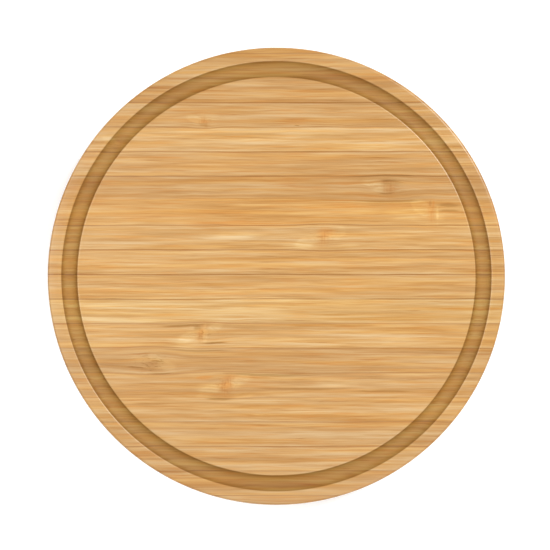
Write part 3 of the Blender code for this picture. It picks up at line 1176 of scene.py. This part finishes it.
@dataclass
class RingBearing:
    """The ring bearing: two turned rings, and balls in a nylon cage between their races."""

    outer: Ring
    inner: Ring
    balls: int = 24
    gap: float = 0.3 * MM
    filler_angle: float = math.radians(-45)
    filler_radius: float = 3.0 * MM
    filler_recess: float = 0.5 * MM
    filler_length: float = 8.42 * MM
    filler_edge: float = 0.4 * MM
    filler_pitch: float = 0.8 * MM
    filler_thread: float = 0.35 * MM
    socket_across: float = 3.0 * MM
    socket_depth: float = 3.0 * MM
    socket_mouth: float = 0.3 * MM
    pocket: float = 2.68 * MM
    cage_wall: float = 1.2 * MM
    cage_edge: float = 0.3 * MM

    def build(self, workshop: Workshop) -> None:
        """Makes the bearing's pieces and puts them in place of the frame's."""
        alloy = ALUMINIUM.material()
        workshop.stand_in(self.outer.node, self.outer_ring(), alloy)
        workshop.stand_in(self.inner.node, self.inner_ring(), alloy)
        workshop.stand_in("ball_filler_screw", self.filler_screw(), FILLER_PLATE.material())
        workshop.stand_in("ball_cage", self.cage(), NYLON.material())
        steel = POLISHED_STEEL.material()
        for number in range(1, self.balls + 1):
            node = f"bearing_ball_{number:02d}"
            workshop.stand_in(node, self.ball(node), steel)

    def lying(self) -> Matrix:
        """What lays a thing that stands on the axis along the filler hole."""
        turn = Matrix.Rotation(self.filler_angle, 4, "Z") @ Matrix.Rotation(math.pi / 2, 4, "Y")
        return Matrix.Translation((0, 0, middle("bearing_ball_01").z)) @ turn

    def outer_ring(self) -> bpy.types.Mesh:
        """The fixed ring, with tapped holes under it and the filler hole in its side."""
        radius, bottom, _ = extent(self.outer.node)
        nodes = numbered("base_screw")
        _, _, tip = extent(nodes[0])
        bore = BASE_SCREW.shank + self.gap
        tapped = turned("tapped", [(bore, -self.gap), (bore, tip - bottom + self.gap)], 24)
        filler = self.filler_radius + self.gap
        start = radius - self.outer.width - self.gap
        tool = turned("filler_hole", [(filler, start), (filler, radius + self.gap)], 32)
        return carved(
            self.outer.blank(),
            gathered(tapped, upright(nodes, bottom), "tapped_holes"),
            gathered(tool, [self.lying()], "filler_hole"),
        )

    def inner_ring(self) -> bpy.types.Mesh:
        """The turning ring, with countersunk holes for the platter's screws."""
        _, _, top = extent(self.inner.node)
        nodes = numbered("platter_screw")
        _, face, _ = extent(nodes[0])
        outline = PLATTER_SCREW.countersink(self.gap, top - face + self.gap)
        tool = turned("hole", outline, 32)
        return carved(self.inner.blank(), gathered(tool, upright(nodes, face), "holes"))

    def filler_screw(self) -> bpy.types.Mesh:
        """The set screw behind which the balls went in, with a hexagon socket."""
        radius, _, _ = extent(self.outer.node)
        end = radius - self.filler_recess
        start, edge, mouth = end - self.filler_length, self.filler_edge, self.socket_mouth
        body = thread(
            self.filler_radius,
            start + edge,
            end - 2 * edge,
            self.filler_pitch,
            self.filler_thread,
        )
        outline = [
            (self.filler_radius - 2 * edge, start),
            *body,
            (self.filler_radius, end - edge),
            (self.filler_radius - edge, end),
        ]
        across = self.socket_across / math.sqrt(3)
        floor = end - self.socket_depth
        socket = turned("socket", [(across, floor), (across, end + self.gap)], 6)
        bevel = turned("bevel", [(across, end - mouth), (across + 2 * mouth, end + mouth)], 32)
        screw = carved(turned("ball_filler_screw", outline, 40), socket, bevel)
        screw.transform(self.lying())
        return screw

    def cage(self) -> bpy.types.Mesh:
        """The nylon cage, a thin band with a round pocket for each ball."""
        radius, bottom, top = extent("ball_cage")
        bore = radius - self.cage_wall
        outline = rounded(bore, radius, bottom, top, self.cage_edge, 3)
        band = turned("ball_cage", outline, 240, ring=True)
        reach = [(self.pocket, bore - self.gap), (self.pocket, radius + self.gap)]
        punch = turned("punch", reach, 24)
        lay = Matrix.Rotation(math.pi / 2, 4, "Y")
        places = []
        for number in range(1, self.balls + 1):
            ball = middle(f"bearing_ball_{number:02d}")
            turn = Matrix.Rotation(math.atan2(ball.y, ball.x), 4, "Z")
            places.append(Matrix.Translation((0, 0, ball.z)) @ turn @ lay)
        return carved(band, gathered(punch, places, "pockets"))

    def ball(self, node: str) -> bpy.types.Mesh:
        """One ball, in place."""
        _, bottom, top = extent(node)
        shape = bmesh.new()
        bmesh.ops.create_uvsphere(
            shape,
            u_segments=36,
            v_segments=22,
            radius=(top - bottom) / 2,
            matrix=Matrix.Translation(middle(node)),
        )
        return shape_mesh(shape, node)


@dataclass
class Screws:
    """A set of four like screws, head down, with cross recesses."""

    prefix: str
    size: ScrewSize
    plain: float = 1.0 * MM
    thread_depth: float = 0.3 * MM
    point_radius: float = 0.25 * MM
    edge: float = 0.2 * MM
    recess_depth: float = 1.3 * MM
    recess_span: float = 2.3
    slot_width: float = 0.9 * MM
    slot_taper: float = 0.55
    pit_mouth: float = 1.1
    pit_floor: float = 0.4
    pit_depth: float = 1.8
    segments: int = 40

    TURNS = (0.4, 2.1, 1.2, 2.8)

    def build(self, workshop: Workshop, finish: bpy.types.Material) -> None:
        """Makes the screws and puts them in place of the frame's, each left at its own turn."""
        nodes = numbered(self.prefix)
        _, face, end = extent(nodes[0])
        screw = self.screw(end - face)
        for node, place, turn in zip(nodes, upright(nodes, face), self.TURNS):
            copy = copied(screw, place @ Matrix.Rotation(turn, 4, "Z"))
            workshop.stand_in(node, copy, finish)

    def screw(self, length: float) -> bpy.types.Mesh:
        """One screw, its head's face at height 0 and its shank upwards."""
        size, edge = self.size, self.edge
        if size.pan:
            head = arc((size.head - size.pan, size.pan), size.pan, -90, 0, 8)
            head.append((size.shank, size.neck))
        else:
            head = [(size.head - edge, 0.0), (size.head, edge / 2), (size.head, edge)]
            head.append((size.shank, size.neck + edge))
        start, end = size.neck + self.plain, length - (size.tip or edge)
        turns = thread(size.shank, start, end, size.pitch, self.thread_depth)
        point = (self.point_radius if size.tip else size.shank - 2 * edge, length)
        outline = [*head, (size.shank, start - edge), *turns, (size.shank - edge, end), point]
        return carved(turned(self.prefix, outline, self.segments), *self.recess())

    def recess(self) -> list[bpy.types.Mesh]:
        """The two tapered blades of the cross recess and the square pit between them."""
        span = self.recess_span * self.size.shank
        depth = self.recess_depth
        tools = []
        for size in ((span, self.slot_width), (self.slot_width, span)):
            shape = bmesh.new()
            bmesh.ops.create_cube(shape, size=1.0)
            bmesh.ops.scale(shape, vec=(*size, 2 * depth), verts=shape.verts)
            deep = [v for v in shape.verts if v.co.z > 0]
            bmesh.ops.scale(shape, vec=(self.slot_taper, self.slot_taper, 1.0), verts=deep)
            tools.append(shape_mesh(shape, "blade"))
        shape = bmesh.new()
        bmesh.ops.create_cone(
            shape,
            cap_ends=True,
            segments=4,
            radius1=self.pit_mouth * self.slot_width,
            radius2=self.pit_floor * self.slot_width,
            depth=self.pit_depth * depth,
        )
        tools.append(shape_mesh(shape, "pit"))
        return tools


@dataclass
class Feet:
    """The rubber feet, each with a washer and a pan-headed screw up inside it."""

    top: float = 10.0 * MM
    bottom: float = 8.5 * MM
    edge: float = 1.0 * MM
    bore: float = 4.1 * MM
    hole: float = 1.8 * MM
    seat: float = 1.5 * MM
    grip: float = 0.5 * MM
    grooves: int = 2
    land: float = 0.9 * MM
    slope: float = 0.2 * MM
    bore_edge: float = 0.4 * MM
    top_edge: float = 0.5 * MM
    washer_radius: float = 3.8 * MM
    washer_edge: float = 0.15 * MM
    segments: int = 72

    def build(self, workshop: Workshop, plate: bpy.types.Material) -> None:
        """Makes the feet and their washers and puts them in place of the frame's."""
        rubber = RUBBER.material()
        feet, washers = numbered("rubber_foot"), numbered("foot_washer")
        _, low, high = extent(feet[0])
        foot, washer = self.foot(high - low), self.washer(washers[0])
        for node, place in zip(feet, upright(feet, low)):
            workshop.stand_in(node, copied(foot, place), rubber)
        _, low, _ = extent(washers[0])
        for node, place in zip(washers, upright(washers, low)):
            workshop.stand_in(node, copied(washer, place), plate)

    def foot(self, height: float) -> bpy.types.Mesh:
        """One foot, standing at height 0, with round grip grooves under it."""
        ceiling, slope = height - self.seat, self.slope
        start, end = self.bore + self.land, self.bottom - self.edge - self.bore_edge
        step = (end - start) / (2 * self.grooves)
        grip = []
        for number in range(self.grooves):
            near = start + 2 * number * step
            far = near + step
            grip += [(near, 0.0), (near + slope, self.grip), (far, self.grip), (far + slope, 0.0)]
        bore, top = self.bore_edge, self.top_edge
        outline = [
            *arc((self.bore + bore, bore), bore, 180, 270, 4),
            *grip,
            *arc((self.bottom - self.edge, self.edge), self.edge, -90, 8, 8),
            *arc((self.top - top, height - top), top, 8, 90, 4),
            (self.hole, height),
            (self.hole, ceiling),
            (self.bore, ceiling),
        ]
        return turned("rubber_foot", outline, self.segments, ring=True)

    def washer(self, node: str) -> bpy.types.Mesh:
        """One washer, its underside at height 0."""
        _, low, high = extent(node)
        thick, rim, edge = high - low, self.washer_radius, self.washer_edge
        outline = [
            (self.hole, edge),
            (self.hole + edge, 0.0),
            *arc((rim - edge, edge), edge, -90, 0, 3),
            *arc((rim - edge, thick - edge), edge, 0, 90, 3),
            (self.hole + edge, thick),
            (self.hole, thick - edge),
        ]
        return turned("foot_washer", outline, self.segments, ring=True)


def streaks(shade: Shade, *rows: tuple[float, float, float, float, float]) -> list[Streak]:
    """Streaks of one shade, from rows of x, y, length and width in millimetres and strength."""
    return [Streak(*(size * MM for size in row[:4]), shade, row[4]) for row in rows]


PLATTER_STRIPS = tuple(
    Tone[name]
    for name in (
        "TAN SMOKED TAN TAN STRAW BISCUIT SMOKED WHEAT CREAM STRAW STRAW WHEAT HONEY SMOKED "
        "BISCUIT WHEAT TAN SMOKED TAN TAN"
    ).split()
)

PLATTER_KNUCKLES = (
    Knuckle(
        -55 * MM, 118 * MM, 5 * MM, 4.5 * MM, heart=0.5, left=0.8, right=0.2, fleck=0.3, curl=0.3
    ),
    Knuckle(
        16 * MM, 116 * MM, 2 * MM, 1.2 * MM, 0.1, heart=0.0, left=0.0, right=0.0, curl=0.0, fleck=1.0
    ),
    Knuckle(
        86 * MM, 68 * MM, 8 * MM, 6 * MM, 0.5, left=0.5, right=0.0, fleck=0.5, grey=0.5, fleck_at=0.9
    ),
    Knuckle(
        118 * MM, 49 * MM, 5 * MM, 8 * MM, 0.1, heart=0.45, left=0.9, right=0.3, fleck=0.0, curl=0.2
    ),
    Knuckle(36 * MM, 30 * MM, heart=0.5, left=0.6, right=0.5, fleck=0.2, curl=0.3, lean=-0.3),
    Knuckle(-57 * MM, -43 * MM, 7 * MM, 6 * MM, heart=0.7, left=0.6, fleck=0.4, curl=0.9, lean=-0.4),
    Knuckle(-94 * MM, -66 * MM, 8 * MM, swell=0.5, heart=0.15, left=0.2, curl=1.0, grey=0.7),
    Knuckle(-38 * MM, -83 * MM, 8 * MM, heart=0.8, left=0.6, right=0.5, fleck=0.4, lean=-0.35),
    Knuckle(
        -19 * MM, -105 * MM, 5 * MM, 2 * MM, 0.15, heart=0.1, left=0.0, right=0.2, curl=0.0, fleck=0.9
    ),
    Knuckle(-120 * MM, 102 * MM, 5 * MM, 4 * MM, heart=0.2, left=0.6, right=0.0, fleck=0.0),
)

PLATTER_STREAKS = (
    *streaks(
        Shade.PALE,
        (-135, -9, 70, 24, 0.30),
        (-14, 109, 85, 3.5, 0.5),
        (-53, 121.5, 9, 3.5, 0.5),
        (-29, 31, 20, 2.6, 0.7),
        (18, 24, 16, 2.0, 0.7),
        (55, 24, 9, 1.6, 0.7),
        (98, 48, 16, 5.0, 0.6),
        (123, 47, 1.0, 6.0, 0.9),
        (78, 67, 5, 1.0, 0.9),
        (-70, -51, 13, 5.0, 0.5),
        (-54.5, -44.5, 2.0, 5.5, 0.7),
        (-93, -63, 5, 3.4, 0.6),
        (-51.5, -86, 11, 4.2, 0.6),
        (-31, -81.5, 6, 2.6, 0.5),
        (-25.5, -90.5, 9, 2.4, 0.6),
        (46, -81, 20, 3.0, 0.7),
    ),
    *streaks(
        Shade.GREY,
        (130, -9, 60, 26, 0.35),
        (-120, -66, 20, 4.0, 0.7),
    ),
    *streaks(
        Shade.BROWN,
        (-55.5, 116.2, 4.5, 1.0, 0.5),
        (117.5, 55, 1.1, 2.6, 0.4),
        (132, 54, 9, 1.4, 0.9),
        (132, 49.8, 9, 1.0, 0.8),
        (80, 76, 26, 0.9, 0.9),
        (88, 71, 9, 2.4, 0.5),
        (84, 65, 6, 0.8, 0.8),
        (88, 58, 30, 0.9, 0.9),
        (-72, -38.3, 16, 0.9, 0.9),
        (-60, -40.5, 3.0, 1.6, 0.7),
        (-47, -50.7, 10, 0.8, 1.0),
        (-60, -56.8, 24, 1.0, 0.7),
        (-107, -69, 7, 0.8, 0.8),
        (-91, -65.5, 5, 0.5, 0.9),
        (-88, -73, 9, 0.9, 0.9),
        (-43, -93, 10, 1.2, 1.0),
        (-8, -75.4, 34, 1.2, 0.9),
        (22, -86, 30, 0.8, 0.8),
        (80, -88, 26, 0.9, 0.8),
    ),
    *streaks(
        Shade.ORANGE,
        (-84, 91, 18, 0.9, 0.7),
        (38, 33, 8, 3.0, 0.5),
        (-30, 40, 60, 1.6, 0.6),
        (120, 54.5, 0.9, 3.2, 0.7),
        (-56, -78.6, 7, 1.4, 0.9),
    ),
)

BASE_STRIPS = PLATTER_STRIPS[7:] + PLATTER_STRIPS[:7]

BASE_KNUCKLES = (
    Knuckle(-62 * MM, 31 * MM, heart=0.6),
    Knuckle(48 * MM, -44 * MM, heart=0.5, left=0.8, lean=-0.4),
    Knuckle(10 * MM, 84 * MM, 6 * MM, fleck=0.6, grey=0.5),
)


@dataclass
class Studio:
    """The floor, the lights and the camera."""

    lens: float = 135.0
    sensor: float = 36.0
    share: float = 0.829
    aim: Point = (-1.07 * MM, 0.92 * MM)
    lamp_distance: float = 3.2
    floor_reach: float = 4.0
    floor_gap: float = 0.2 * MM
    floor_glow: float = 0.16
    daylight: float = 0.56

    def build(self) -> None:
        """Sets the stage round the object."""
        low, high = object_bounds()
        self.floor()
        self.lights()
        self.camera(low, high)

    def floor(self) -> None:
        """A plain pale floor, which glows a little as a light table does."""
        shape = bmesh.new()
        bmesh.ops.create_grid(shape, x_segments=1, y_segments=1, size=self.floor_reach)
        floor = bpy.data.objects.new("floor", shape_mesh(shape, "floor"))
        bpy.context.scene.collection.objects.link(floor)
        floor.location.z = -self.floor_gap
        graph = Graph("floor_paint")
        graph.set("Base Color", (0.98, 0.98, 0.98))
        graph.set("Roughness", 0.9)
        graph.set("Emission Color", (1.0, 1.0, 1.0))
        graph.set("Emission Strength", self.floor_glow)
        floor.data.materials.append(graph.material)
        floor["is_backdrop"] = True

    def lights(self) -> None:
        """Soft studio light all round, a little stronger from the far right."""
        self.lamp("key", turn=38.0, rise=52.0, size=1.0, power=76.0)
        self.lamp("fill_left", turn=172.0, rise=60.0, size=2.0, power=46.0)
        self.lamp("fill_near", turn=285.0, rise=60.0, size=2.0, power=30.0)
        world = bpy.data.worlds.new("studio")
        world.use_nodes = True
        background = world.node_tree.nodes["Background"]
        background.inputs["Color"].default_value = (1.0, 1.0, 1.0, 1.0)
        background.inputs["Strength"].default_value = self.daylight
        bpy.context.scene.world = world

    def lamp(self, name: str, turn: float, rise: float, size: float, power: float) -> None:
        """A round soft lamp aimed at the object.

        Args:
            name: the lamp's name.
            turn: its direction round the object, in degrees from +X.
            rise: its height above the horizon, in degrees.
            size: its diameter.
            power: its power in watts.
        """
        data = bpy.data.lights.new(name, "AREA")
        data.shape = "DISK"
        data.size = size
        data.energy = power
        lamp = bpy.data.objects.new(name, data)
        level, height = math.cos(math.radians(rise)), math.sin(math.radians(rise))
        angle = math.radians(turn)
        towards = Vector((level * math.cos(angle), level * math.sin(angle), height))
        lamp.location = towards * self.lamp_distance
        lamp.rotation_euler = (-towards).to_track_quat("-Z", "Y").to_euler()
        bpy.context.scene.collection.objects.link(lamp)

    def camera(self, low: Vector, high: Vector) -> None:
        """A camera straight above, with the grain running from left to right."""
        data = bpy.data.cameras.new("camera")
        data.lens = self.lens
        data.sensor_width = self.sensor
        camera = bpy.data.objects.new("camera", data)
        half_width = (high.x - low.x) / 2 / self.share
        _, bottom, top = extent("platter")
        distance = half_width * self.lens / (self.sensor / 2)
        camera.location = (*self.aim, (bottom + top) / 2 + distance)
        bpy.context.scene.collection.objects.link(camera)
        bpy.context.scene.camera = camera
        bpy.context.scene.view_settings.view_transform = "Standard"


def main() -> None:
    """Builds the turntable's looks round its frame."""
    logging.basicConfig(level=logging.INFO, format="%(message)s")
    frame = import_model()
    workshop = Workshop(frame)
    Studio().build()
    plate = ZINC_PLATE.material()
    Platter("platter", edge=2.2 * MM).build(workshop)
    Screws("platter_screw", PLATTER_SCREW).build(workshop, plate)
    rings = Ring("bearing_outer_ring", True), Ring("bearing_inner_ring", False)
    RingBearing(*rings).build(workshop)
    Base("base_disc", edge=2 * MM).build(workshop)
    Screws("base_screw", BASE_SCREW).build(workshop, plate)
    Feet().build(workshop, plate)
    Screws("foot_screw", FOOT_SCREW).build(workshop, plate)


if __name__ == "__main__":
    main()
